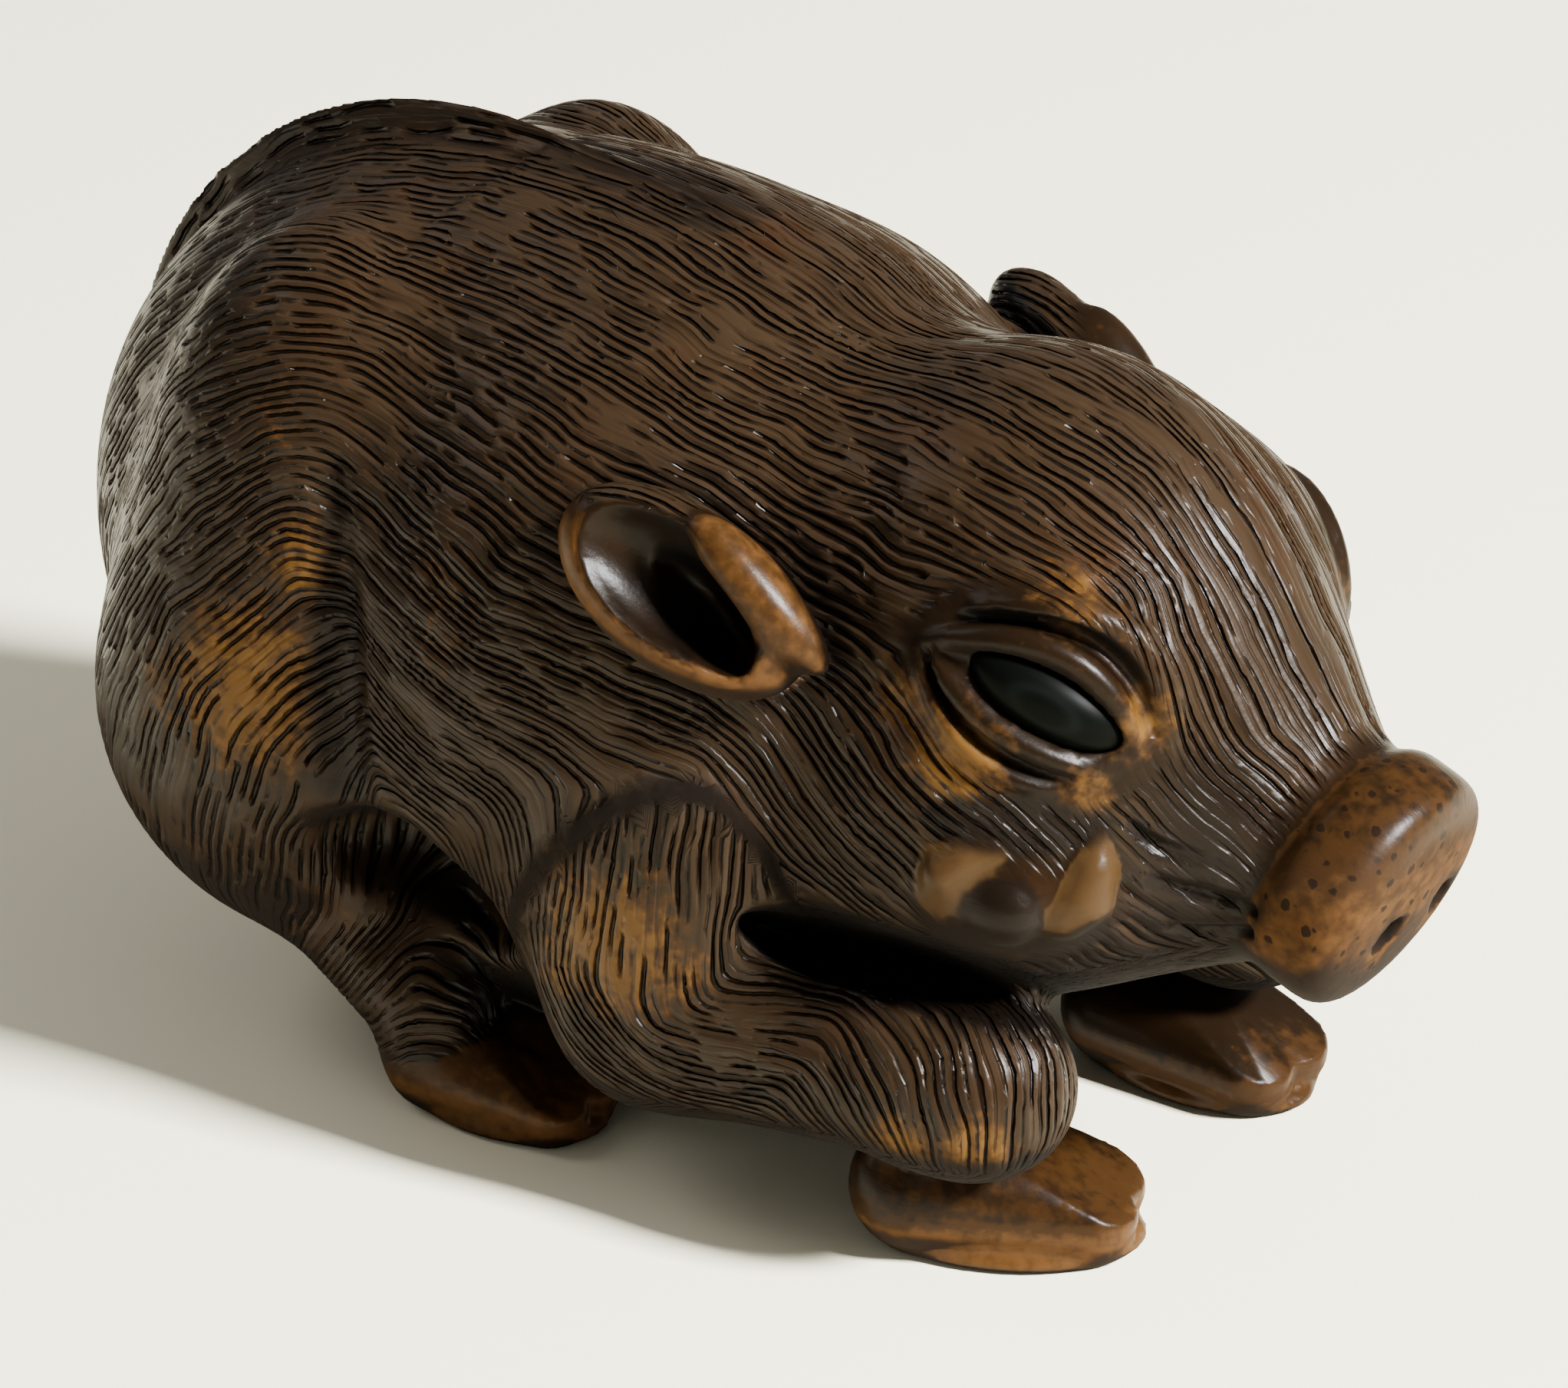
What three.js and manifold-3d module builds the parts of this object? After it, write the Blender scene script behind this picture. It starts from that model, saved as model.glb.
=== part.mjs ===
// A netsuke in the form of a young wild boar lying with its legs folded under it: one block of carved and
// stained wood, with two inlaid horn eyes. Millimetres: x runs from rump to snout, y to the boar's left and
// z up from the surface that it lies on.
import * as THREE from 'three';
import { surfaceNet } from 'three/addons/libs/surfaceNet.js';
import { SimplifyModifier } from 'three/addons/modifiers/SimplifyModifier.js';
import { mergeVertices } from 'three/addons/utils/BufferGeometryUtils.js';
import Module from 'manifold-3d';

// Masses of the body. An egg has a centre, three radii and, where it leans, its turns about z, y and x in
// degrees. A rod has two ends and two radii, and a bent one a point between them and a radius at each step.
// What is given at negative y is the right side, and the left side mirrors it. "soft" is the width over which
// a mass flows into the others.
const TRUNK = { centre: [-9.0, 0, 13.6], radii: [15.3, 9.8, 13.0] };
const CHEST = { centre: [-1.0, 0, 13.7], radii: [11.0, 10.3, 10.6], soft: 6 };
const SHOULDER = { centre: [-2.0, -5.3, 15.3], radii: [5.3, 4.9, 7.6], soft: 2.5 };
const HAUNCH = { centre: [-11.5, -6.0, 14.7], radii: [6.3, 5.2, 10.8], soft: 1.5 };
const THIGH = { centre: [-12.7, -6.7, 10.1], radii: [6.2, 4.9, 5.7], soft: 4 };
const CREST = { centre: [-10.5, 0, 13.9], radii: [14.7, 0.9, 13.8], soft: 0.5 };
const TAIL = {
  from: [-23.4, 0.2, 16.5], by: [-24.3, 1.6, 12.6], to: [-22.6, 3.2, 8.4], soft: 0.5,
  thick: [1.2, 1.0, 0.9, 0.75, 0.5],
};

const SKULL = { centre: [8.6, 0, 15.5], radii: [8.5, 7.8, 9.1] };
const MUZZLE = { from: [12, 0, 14.0], to: [18.0, 0, 12.5], thick: [5.6, 3.3], soft: 4 };
const CHEEK = { centre: [9.3, -4.6, 12.5], radii: [5.2, 3.6, 4.2], soft: 3 };
const BROW = { centre: [11.7, -4.1, 18.0], radii: [3.0, 2.4, 2.8], soft: 2 };
const NECK_SOFT = 2.0;
const SNOUT = { centre: [19.8, 0, 12.1], radii: [1.65, 3.95, 3.75], turns: [0, 21, 0], soft: 0.4 };
const NOSTRIL = { centre: [21.2, -1.4, 11.0], radii: [0.9, 0.45, 0.75], turns: [0, 18, -30] };

// Parts of the ear are placed from its middle: along it to the front, in from its face, and up across it.
const EAR = { centre: [3.9, -9.2, 19.5], radii: [4.4, 1.7, 2.6], turns: [8, 30, -20], soft: 0.4 };
const EAR_HOLLOW = { at: [-0.4, -1.6, -0.35], radii: [3.25, 1.35, 1.75], soft: 0.3 };
const EAR_HOLE = { at: [0.5, -1.0, -0.1], radii: [1.9, 2.0, 0.8], soft: 0.3 };
const EAR_LOBE = { at: [1.4, -0.85, 1.2], radii: [2.5, 0.95, 1.1], soft: 0.3 };

// The eye's parts are placed from its middle: along the slit to the front, in from its face, and up across
// it. A lid bows by its rise between its two ends.
const EYE = { centre: [12.95, -6.15, 17.95], turns: [24, 28, -8], away: 6 };
const UPPER_LID = { from: -3.0, to: 2.9, end: -0.1, rise: 1.75, thick: 0.5, soft: 0.3 };
const LOWER_LID = { from: -3.1, to: 2.6, end: -0.7, rise: -1.35, thick: 0.45, soft: 0.3 };
const LID_CREASE = { from: -2.3, to: 2.5, end: 0.9, rise: 1.6, thick: 0.4, soft: 0.3 };
const LID_LINKS = 10;
const LID_TAPER = 0.6;
const INLAY = { at: [0.35, -0.05, 0.2], radii: [2.3, 1.1, 1.05] };
const INLAY_GAP = 0.3;

const LIP = { centre: [12.8, -6.6, 12.6], radii: [2.6, 1.4, 1.6], turns: [33, 0, 0], soft: 0.4 };
const BEAD = { centre: [12.7, -7.3, 12.2], radii: [1.1, 0.9, 1.1], soft: 0.2 };
const TUSK = { from: [13.7, -6.5, 11.4], to: [14.9, -5.7, 14.3], thick: [0.8, 0.3], soft: 0.2 };

const SHANK = { from: [-12.2, -7.3, 7.2], to: [-6.8, -8.0, 3.2], thick: [2.8, 2.0], soft: 0.7 };
const HIND_TOES = { from: [-6.6, -7.6, 1.5], to: [-2.3, -7.4, 1.0], thick: [1.7, 1.15], soft: 1.0 };
const POCKET = { centre: [-5.6, -11.2, 7.6], radii: [3.5, 4.6, 2.3], turns: [0, 28, 0], soft: 0.8 };
const HAUNCH_FOLD = {
  from: [-7.4, -11.0, 21.5], by: [-6.7, -11.8, 16.0], to: [-7.6, -11.4, 11.0], soft: 1.0,
  thick: [0.3, 0.8, 1.0, 1.0, 0.8],
};
const ARM = { centre: [1.7, -7.9, 9.4], radii: [4.9, 3.1, 6.4], soft: 0.9 };
const FOREARM = { from: [1.6, -8.1, 5.6], to: [9.3, -7.2, 6.2], thick: [2.7, 2.7], soft: 1.5 };
const WRIST = { centre: [11.3, -6.9, 6.1], radii: [3.4, 2.8, 2.9], soft: 1.0 };
const RIGHT_TOES = { from: [9.1, -5.6, 1.85], to: [13.4, -3.4, 1.3], thick: [1.95, 1.4], soft: 1.5 };
const LEFT_TOES = { from: [8.2, 6.7, 1.7], to: [12.8, 6.4, 1.25], thick: [1.85, 1.35], soft: 1.5 };
const CLEFT = { apart: 1.7, soft: 0.2 };

// Fur that shows from a step away: furrows in rows on each side, each row from one edge of an area to the
// other. "start" and "end" are the first and last furrow's two ends in side view, x and z.
const FURROW = { thick: [0.4, 0.8, 0.8, 0.8, 0.4], lift: 0.4, soft: 0.5, reach: 16 };
const FUR_AREAS = [
  { rows: 6, start: [[-17.5, 20.5], [-9.5, 22.6]], end: [[-17.6, 8.6], [-9.2, 8.8]], bow: 1.2 },
  { rows: 3, start: [[-5.2, 22.4], [0.2, 22.4]], end: [[-5.4, 13.6], [-1.8, 13.0]], bow: -0.4 },
  { rows: 4, start: [[-1.6, 12.6], [-1.9, 6.6]], end: [[4.6, 13.0], [4.4, 5.4]], bow: 0.5 },
];
const FOREHEAD = { rows: 2, from: 5.5, to: 14.5, first: -1.3, spacing: 2.3 };
const MANE = { notches: 16, from: 76, to: 166, thick: [0.4, 0.4], across: 2.6 };

// The grid that the form is first laid out on, and the points that its faceted skin keeps.
const GRID = { low: [-26, -13, -1], high: [23, 13, 29.5], step: 0.5 };
const KEPT_POINTS = 3800;
const SURFACE_STEPS = 3;
const MEET_STEPS = 80;
const MEET_SHARE = 0.8;
const SAME_POINT = 1e-5;
const GROUND_BLOCK = 80;
const EYE_SIDES = [16, 10];

const vec = (xyz) => new THREE.Vector3(...xyz);
const mix = (a, b, t) => a.map((v, i) => v + (b[i] - v) * t);

function turned(turns = [0, 0, 0]) {
  const [z, y, x] = turns.map(THREE.MathUtils.degToRad);
  return new THREE.Matrix4().makeRotationFromEuler(new THREE.Euler(x, y, z, 'ZYX'));
}

// The place of a point that is given in a part's own turned axes.
function placed({ centre, turns }, at) {
  return vec(at).applyMatrix4(turned(turns)).add(vec(centre)).toArray();
}

// Each form is a function of a point that gives its distance to the form's surface, negative inside.
function egg({ centre: [cx, cy, cz], radii: [rx, ry, rz], turns }) {
  const e = turned(turns).elements;
  return (x, y, z) => {
    const [dx, dy, dz] = [x - cx, y - cy, z - cz];
    const u = (e[0] * dx + e[1] * dy + e[2] * dz) / rx;
    const v = (e[4] * dx + e[5] * dy + e[6] * dz) / ry;
    const w = (e[8] * dx + e[9] * dy + e[10] * dz) / rz;
    const reach = Math.sqrt(u * u + v * v + w * w);
    const slope = Math.sqrt((u / rx) ** 2 + (v / ry) ** 2 + (w / rz) ** 2);
    return reach * (reach - 1) / Math.max(slope, 1e-9);
  };
}

function rod({ from: [ax, ay, az], to: [bx, by, bz], thick: [first, last] }) {
  const [lx, ly, lz] = [bx - ax, by - ay, bz - az];
  const square = lx * lx + ly * ly + lz * lz;
  return (x, y, z) => {
    const [dx, dy, dz] = [x - ax, y - ay, z - az];
    const t = Math.min(Math.max((dx * lx + dy * ly + dz * lz) / square, 0), 1);
    const gap = Math.sqrt((dx - t * lx) ** 2 + (dy - t * ly) ** 2 + (dz - t * lz) ** 2);
    return gap - (first + (last - first) * t);
  };
}

// A rod that bends through points, with a thickness at each.
function strand(points, thick) {
  const links = points.slice(1).map((to, i) => rod({ from: points[i], to, thick: [thick[i], thick[i + 1]] }));
  return (x, y, z) => links.reduce((least, link) => Math.min(least, link(x, y, z)), Infinity);
}

// A rod that bows from one end to the other through the point between them.
function bentRod({ from, by, to, thick }) {
  const middle = vec(by).multiplyScalar(2).addScaledVector(vec(from), -0.5).addScaledVector(vec(to), -0.5);
  const bow = new THREE.QuadraticBezierCurve3(vec(from), middle, vec(to));
  return strand(bow.getPoints(thick.length - 1).map((p) => p.toArray()), thick);
}

function join(one, other, soft) {
  return (x, y, z) => {
    const a = one(x, y, z);
    const b = other(x, y, z);
    const near = Math.max(soft - Math.abs(a - b), 0);
    return Math.min(a, b) - near * near / (4 * soft);
  };
}

function carve(block, tool, soft) {
  const left = join((x, y, z) => -block(x, y, z), tool, soft);
  return (x, y, z) => -left(x, y, z);
}

const bothSides = (form) => (x, y, z) => form(x, -Math.abs(y), z);

// The point where a line from outside comes within a height of the form.
function meet(form, from, towards, height = 0) {
  const p = vec(from);
  for (let i = 0; i < MEET_STEPS; i += 1) {
    p.addScaledVector(towards, MEET_SHARE * (form(p.x, p.y, p.z) - height));
  }
  return p.toArray();
}

// A lid lies on the head in a bow from the eye's rear corner to its front one, thin at both.
function lid({ from, to, end, rise, thick }, head) {
  const inward = new THREE.Vector3(0, 1, 0).applyMatrix4(turned(EYE.turns));
  const points = [];
  const widths = [];
  for (let i = 0; i <= LID_LINKS; i += 1) {
    const t = -1 + 2 * i / LID_LINKS;
    const start = placed(EYE, [from + (to - from) * i / LID_LINKS, -EYE.away, end + rise * (1 - t * t)]);
    points.push(meet(head, start, inward));
    widths.push(thick * (1 - LID_TAPER * t ** 4));
  }
  return strand(points, widths);
}

// A cloven hoof: two toes side by side.
function toes({ from, to, thick }) {
  const across = new THREE.Vector3().crossVectors(new THREE.Vector3(0, 0, 1), vec(to).sub(vec(from)));
  across.setLength(CLEFT.apart / 2);
  const toe = (side) => rod({
    from: vec(from).addScaledVector(across, side).toArray(),
    to: vec(to).addScaledVector(across, side).toArray(),
    thick,
  });
  return join(toe(-1), toe(1), CLEFT.soft);
}

function boarForm() {
  let body = egg(TRUNK);
  const add = (form, { soft }) => { body = join(body, form, soft); };
  const cut = (form, { soft }) => { body = carve(body, form, soft); };
  const inEar = ({ at, radii }) => egg({ centre: placed(EAR, at), radii, turns: EAR.turns });

  add(egg(CHEST), CHEST);
  add(bothSides(egg(SHOULDER)), SHOULDER);
  add(bothSides(join(egg(HAUNCH), egg(THIGH), THIGH.soft)), HAUNCH);
  add(egg(CREST), CREST);
  add(bentRod(TAIL), TAIL);

  let head = join(egg(SKULL), rod(MUZZLE), MUZZLE.soft);
  head = join(head, bothSides(egg(CHEEK)), CHEEK.soft);
  head = join(head, bothSides(egg(BROW)), BROW.soft);
  body = join(body, head, NECK_SOFT);
  add(egg(SNOUT), SNOUT);

  add(bothSides(rod(SHANK)), SHANK);
  add(bothSides(toes(HIND_TOES)), HIND_TOES);
  cut(bothSides(egg(POCKET)), POCKET);
  const arm = join(join(egg(ARM), rod(FOREARM), FOREARM.soft), egg(WRIST), WRIST.soft);
  add(bothSides(arm), ARM);
  add(toes(RIGHT_TOES), RIGHT_TOES);
  add(toes(LEFT_TOES), LEFT_TOES);
  cut(bothSides(bentRod(HAUNCH_FOLD)), HAUNCH_FOLD);

  add(bothSides(carve(egg(EAR), inEar(EAR_HOLLOW), EAR_HOLLOW.soft)), EAR);
  cut(bothSides(inEar(EAR_HOLE)), EAR_HOLE);
  add(bothSides(inEar(EAR_LOBE)), EAR_LOBE);
  cut(bothSides(lid(LID_CREASE, head)), LID_CREASE);
  add(bothSides(lid(UPPER_LID, head)), UPPER_LID);
  add(bothSides(lid(LOWER_LID, head)), LOWER_LID);
  add(bothSides(egg(LIP)), LIP);
  add(bothSides(egg(BEAD)), BEAD);
  add(bothSides(rod(TUSK)), TUSK);
  return body;
}

// Furrows on the right side of the form, each a strand along the surface that is thin at its two ends.
function furrows(form) {
  const along = FURROW.thick.map((_, i) => i / (FURROW.thick.length - 1));
  const paths = [];
  for (const { rows, start, end, bow } of FUR_AREAS) {
    for (let row = 0; row < rows; row += 1) {
      const first = start.map((point, i) => mix(point, end[i], row / (rows - 1)));
      const lean = [first[1][1] - first[0][1], first[0][0] - first[1][0]];
      const length = Math.hypot(...lean);
      paths.push(along.map((t) => {
        const [x, z] = mix(first[0], first[1], t).map((v, i) => v - lean[i] / length * bow * 4 * t * (1 - t));
        return meet(form, [x, -FURROW.reach, z], new THREE.Vector3(0, 1, 0), FURROW.lift);
      }));
    }
  }
  for (let row = 0; row < FOREHEAD.rows; row += 1) {
    const y = FOREHEAD.first - row * FOREHEAD.spacing;
    paths.push(along.map((t) => {
      const x = FOREHEAD.from + (FOREHEAD.to - FOREHEAD.from) * t;
      return meet(form, [x, y, 2 * FURROW.reach], new THREE.Vector3(0, 0, -1), FURROW.lift);
    }));
  }
  return paths.map((points) => strand(points, FURROW.thick));
}

// Notches across the crest, along its curve from the shoulders to the rump.
function maneNotches() {
  const [cx, , cz] = CREST.centre;
  const [rx, , rz] = CREST.radii;
  return Array.from({ length: MANE.notches }, (_, i) => {
    const t = THREE.MathUtils.degToRad(MANE.from + (MANE.to - MANE.from) * i / (MANE.notches - 1));
    const [x, z] = [cx + rx * Math.cos(t), cz + rz * Math.sin(t)];
    return rod({ from: [x, -MANE.across / 2, z], to: [x, MANE.across / 2, z], thick: MANE.thick });
  });
}

function withFur(form) {
  const side = furrows(form);
  const notches = maneNotches();
  const least = (list, x, y, z) => list.reduce((low, tool) => Math.min(low, tool(x, y, z)), Infinity);
  const tool = (x, y, z) => Math.min(least(side, x, -Math.abs(y), z), least(notches, x, y, z));
  return carve(form, tool, FURROW.soft);
}

// A closed skin over the form, with its points drawn onto the surface. The net asks for the same grid point
// from all the cells around it, so the form's values are kept.
function skin(form, { low, high, step }) {
  const cells = low.map((l, i) => Math.round((high[i] - l) / step));
  const kept = new Map();
  const remembered = (x, y, z) => {
    const [i, j, k] = [x, y, z].map((v, axis) => Math.round((v - low[axis]) / step));
    const key = (i * (cells[1] + 1) + j) * (cells[2] + 1) + k;
    if (!kept.has(key)) kept.set(key, form(x, y, z));
    return kept.get(key);
  };
  const net = surfaceNet(cells, remembered, [low, high]);
  const points = net.positions.map((p) => onSurface(form, vec(p), step));
  const geometry = new THREE.BufferGeometry().setFromPoints(points);
  geometry.setIndex(net.cells.flat());
  return geometry;
}

function slopeAt(form, { x, y, z }, e = 0.02) {
  return new THREE.Vector3(
    form(x + e, y, z) - form(x - e, y, z),
    form(x, y + e, z) - form(x, y - e, z),
    form(x, y, z + e) - form(x, y, z - e),
  ).divideScalar(2 * e);
}

function onSurface(form, point, limit) {
  const p = point.clone();
  for (let i = 0; i < SURFACE_STEPS; i += 1) {
    const slope = slopeAt(form, p);
    p.addScaledVector(slope, -form(p.x, p.y, p.z) / Math.max(slope.lengthSq(), 0.2));
  }
  return p.distanceTo(point) < limit ? p : point;
}

const wasm = await Module();
wasm.setup();

function solidOf(geometry) {
  const bare = geometry.clone();
  bare.deleteAttribute('normal');
  bare.deleteAttribute('uv');
  const merged = mergeVertices(bare, SAME_POINT);
  return new wasm.Manifold(new wasm.Mesh({
    numProp: 3,
    vertProperties: Float32Array.from(merged.attributes.position.array),
    triVerts: Uint32Array.from(merged.index.array),
  }));
}

function meshOf(solid, name, material) {
  const { vertProperties, triVerts } = solid.getMesh();
  const geometry = new THREE.BufferGeometry();
  geometry.setAttribute('position', new THREE.BufferAttribute(Float32Array.from(vertProperties), 3));
  geometry.setIndex(Array.from(triVerts));
  geometry.computeVertexNormals();
  const mesh = new THREE.Mesh(geometry, material);
  mesh.name = name;
  return mesh;
}

// An egg as a closed ball of facets. side is -1 on the right and 1 on the left.
function ball({ centre, radii, turns }, side = -1) {
  const geometry = new THREE.SphereGeometry(1, ...EYE_SIDES);
  geometry.scale(...radii).applyMatrix4(turned(turns)).translate(...centre);
  return side < 0 ? solidOf(geometry) : solidOf(geometry).mirror([0, 1, 0]);
}

const eyeEgg = (gap) => ({
  centre: placed(EYE, INLAY.at),
  radii: INLAY.radii.map((r) => r + gap),
  turns: EYE.turns,
});

const fine = skin(withFur(boarForm()), GRID);
const coarse = await new SimplifyModifier().modify(fine, fine.attributes.position.count - KEPT_POINTS);
const ground = new THREE.BoxGeometry(GROUND_BLOCK, GROUND_BLOCK, GROUND_BLOCK);
ground.translate(0, 0, -GROUND_BLOCK / 2);
const tools = [-1, 1].flatMap((side) => [ball(eyeEgg(INLAY_GAP), side), ball(NOSTRIL, side)]);
tools.push(solidOf(ground));
const carved = tools.reduce((block, tool) => block.subtract(tool), solidOf(coarse));

const stainedWood = new THREE.MeshStandardMaterial({ color: '#4b3322', roughness: 0.42, metalness: 0 });
const darkHorn = new THREE.MeshStandardMaterial({ color: '#17181a', roughness: 0.12, metalness: 0 });

const netsuke = new THREE.Group();
netsuke.add(meshOf(carved, 'boar', stainedWood));
netsuke.add(meshOf(ball(eyeEgg(0), -1), 'eye_right', darkHorn));
netsuke.add(meshOf(ball(eyeEgg(0), 1), 'eye_left', darkHorn));

// The origin is under the middle of the boar, on the surface that it lies on.
const box = new THREE.Box3().setFromObject(netsuke);
const middle = box.getCenter(new THREE.Vector3());
netsuke.position.set(-middle.x, -middle.y, -box.min.z);

export default netsuke;
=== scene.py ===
import bmesh
import bpy
import numpy as np
import openvdb
from mathutils import Matrix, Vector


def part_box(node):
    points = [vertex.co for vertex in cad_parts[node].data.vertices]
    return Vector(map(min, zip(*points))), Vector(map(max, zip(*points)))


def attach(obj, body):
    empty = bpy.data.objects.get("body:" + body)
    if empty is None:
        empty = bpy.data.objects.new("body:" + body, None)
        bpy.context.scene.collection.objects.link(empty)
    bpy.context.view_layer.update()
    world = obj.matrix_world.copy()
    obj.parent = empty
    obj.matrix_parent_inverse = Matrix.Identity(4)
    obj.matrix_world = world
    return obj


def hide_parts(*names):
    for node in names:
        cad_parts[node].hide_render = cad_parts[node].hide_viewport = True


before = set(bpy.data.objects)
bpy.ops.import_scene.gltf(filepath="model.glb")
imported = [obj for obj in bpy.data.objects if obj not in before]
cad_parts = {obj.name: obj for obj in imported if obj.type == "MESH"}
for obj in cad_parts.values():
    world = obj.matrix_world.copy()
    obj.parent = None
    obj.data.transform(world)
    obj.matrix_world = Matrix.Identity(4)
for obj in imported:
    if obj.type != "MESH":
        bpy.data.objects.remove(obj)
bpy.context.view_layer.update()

# The boar's block: one piece of close-grained boxwood, roughed out with chisels into the lying animal.
# Its masses flow into each other, and hollows are cut where the limbs fold. Sizes are millimetres; x runs
# from rump to snout, y to the boar's left and z up. A right-hand part is given, and both() mirrors it.
TOE_BLEND, SOLE_BLEND = 0.15, 0.25
PARE_HEIGHT, SOLE_LENGTH, SOLE_WIDTH = 0.55, 0.8, 0.85


def turned(turns):
    """Axes of a part that leans: its turns about z, y and x in degrees."""
    (cz, cy, cx), (sz, sy, sx) = np.cos(np.radians(turns)), np.sin(np.radians(turns))
    about_z = np.array([[cz, -sz, 0], [sz, cz, 0], [0, 0, 1]])
    about_y = np.array([[cy, 0, sy], [0, 1, 0], [-sy, 0, cy]])
    about_x = np.array([[1, 0, 0], [0, cx, -sx], [0, sx, cx]])
    return about_z @ about_y @ about_x


def near_only(form, centre, radius, margin=4.0, far=9.0):
    """A form that is worked out near itself alone, and is plainly far from every other point."""
    def limited(p):
        q = p - centre
        close = (q * q).sum(1) < (radius + margin) ** 2
        value = np.full(len(p), far)
        value[close] = form(p[close])
        return value
    return limited


def egg(centre, radii, turns=(0, 0, 0)):
    """Distance to an egg-shaped mass, negative inside it."""
    centre, axes, radii = np.array(centre), turned(turns), np.array(radii)

    def form(p):
        q = (p - centre) @ axes / radii
        reach = np.sqrt((q * q).sum(1))
        slope = np.sqrt(((q / radii) ** 2).sum(1))
        return reach * (reach - 1) / np.maximum(slope, 1e-9)
    return near_only(form, centre, radii.max())


def disc(centre, radii, turns, least=0.1):
    """Distance to a thick disc with a rounded edge, facing along its first axis."""
    centre, axes, radii = np.array(centre), turned(turns), np.array(radii)

    def form(p):
        q = (p - centre) @ axes / radii
        around = (q[:, 1:] ** 2).sum(1)
        reach = np.maximum((q[:, 0] ** 4 + around ** 2) ** 0.25, least)
        slope = np.stack([q[:, 0] ** 3, around * q[:, 1], around * q[:, 2]], 1) / radii / reach[:, None] ** 3
        return (reach - 1) / np.maximum(np.linalg.norm(slope, axis=1), least)
    return near_only(form, centre, radii.max())


def rod(start, end, thick):
    """Distance to a round rod with a thickness at each end."""
    start, along = np.array(start), np.subtract(end, start)

    def form(p):
        q = p - start
        t = np.clip(q @ along / (along @ along), 0, 1)
        return np.linalg.norm(q - t[:, None] * along, axis=1) - (thick[0] + (thick[1] - thick[0]) * t)
    return near_only(form, start + along / 2, np.linalg.norm(along) / 2 + max(thick))


def strand(points, thick):
    """Distance to a rod that bends through points, with a thickness at each."""
    links = [rod(points[i], points[i + 1], thick[i:i + 2]) for i in range(len(points) - 1)]
    middle = np.mean(points, 0)
    radius = np.linalg.norm(np.subtract(points, middle), axis=1).max() + max(thick)
    return near_only(lambda p: np.minimum.reduce([link(p) for link in links]), middle, radius)


def bow(start, by, end, count):
    """Points along a bow from one end to the other, through the point half-way."""
    start, by, end = map(np.array, (start, by, end))
    t = np.linspace(0, 1, count)[:, None]
    return (1 - t) ** 2 * start + 2 * t * (1 - t) * (2 * by - (start + end) / 2) + t * t * end


def bent_rod(start, by, end, thick):
    """A rod along a bow, with its thicknesses from end to end."""
    return strand(bow(start, by, end, len(thick)), thick)


def join(one, other, soft):
    """Two masses as one, flowing into each other over a width."""
    def form(p):
        a, b = one(p), other(p)
        near = np.maximum(soft - abs(a - b), 0)
        return np.minimum(a, b) - near * near / (4 * soft)
    return form


def carve(block, tool, soft):
    """What is left of a block when a tool's shape is cut out of it."""
    left = join(lambda p: -block(p), tool, soft)
    return lambda p: -left(p)


def to_right(p):
    """Points, with those on the left mirrored to the right side."""
    return p * [1, 0, 1] - abs(p) * [0, 1, 0]


def both(form):
    """A form of the right side on both sides."""
    return lambda p: form(to_right(p))


def toes(start, end, thick, apart=1.7, sole=0.6, pared=26):
    """A cloven hoof: two toes side by side, pared at a slant on top towards their tips, on one thin sole."""
    start, end, lean = np.array(start), np.array(end), np.radians(pared)
    ahead = (end - start) * [1, 1, 0] / np.linalg.norm((end - start)[:2])
    aside = np.cross([0, 0, 1], ahead) * apart / 2
    pair = join(*(rod(start + side * aside, end + side * aside, thick) for side in (-1, 1)), TOE_BLEND)
    slant = np.cos(lean) * np.array([0, 0, 1]) + np.sin(lean) * ahead
    top = end + [0, 0, PARE_HEIGHT * thick[1]]
    length = np.linalg.norm(end - start) / 2 + SOLE_LENGTH * max(thick)
    width = apart / 2 + SOLE_WIDTH * max(thick)
    middle = (start + end) / 2 * [1, 1, 0] + [0, 0, sole / 2]
    flat = egg(middle, (length, width, sole), (np.degrees(np.arctan2(ahead[1], ahead[0])), 0, 0))
    return join(lambda p: np.maximum(pair(p), (p - top) @ slant), flat, SOLE_BLEND)


barrel = egg((-9.0, 0, 13.6), (15.3, 9.8, 13.0))
chest = egg((-1.0, 0, 13.7), (11.0, 10.3, 10.6))
shoulder = both(egg((-2.0, -5.3, 15.3), (5.3, 4.9, 7.6)))
thigh = egg((-11.5, -6.0, 14.7), (6.3, 5.2, 10.8))
knee = egg((-12.7, -6.7, 10.1), (6.2, 4.9, 5.7))
haunch = both(join(thigh, knee, 4))
crest = egg((-10.5, 0, 13.9), (14.6, 0.75, 13.5))
tail = bent_rod((-23.4, 0.2, 16.5), (-24.3, 1.6, 12.6), (-22.6, 3.2, 8.4), (1.2, 1.0, 0.9, 0.75, 0.5))
skull = egg((8.6, 0, 15.5), (8.5, 7.8, 9.1))
muzzle = rod((12, 0, 14.0), (18.0, 0, 12.5), (5.6, 3.3))
cheek = both(egg((9.3, -4.6, 12.5), (5.2, 3.6, 4.2)))
orbit = both(egg((11.7, -4.1, 18.0), (3.0, 2.4, 2.8)))
head = join(join(join(skull, muzzle, 4), cheek, 3), orbit, 2)
snout = disc((19.75, 0, 12.1), (1.55, 3.85, 3.65), (0, 21, 0))
shank = both(rod((-12.2, -7.3, 7.2), (-6.8, -8.0, 3.2), (2.8, 2.0)))
hind_hoof = both(toes((-6.4, -7.6, 1.4), (-2.3, -7.4, 1.0), (1.5, 1.1)))
under_flank = both(egg((-5.6, -11.2, 7.6), (3.5, 4.6, 2.3), (0, 28, 0)))
upper_arm = egg((1.7, -7.9, 9.4), (4.9, 3.1, 6.4))
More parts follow.
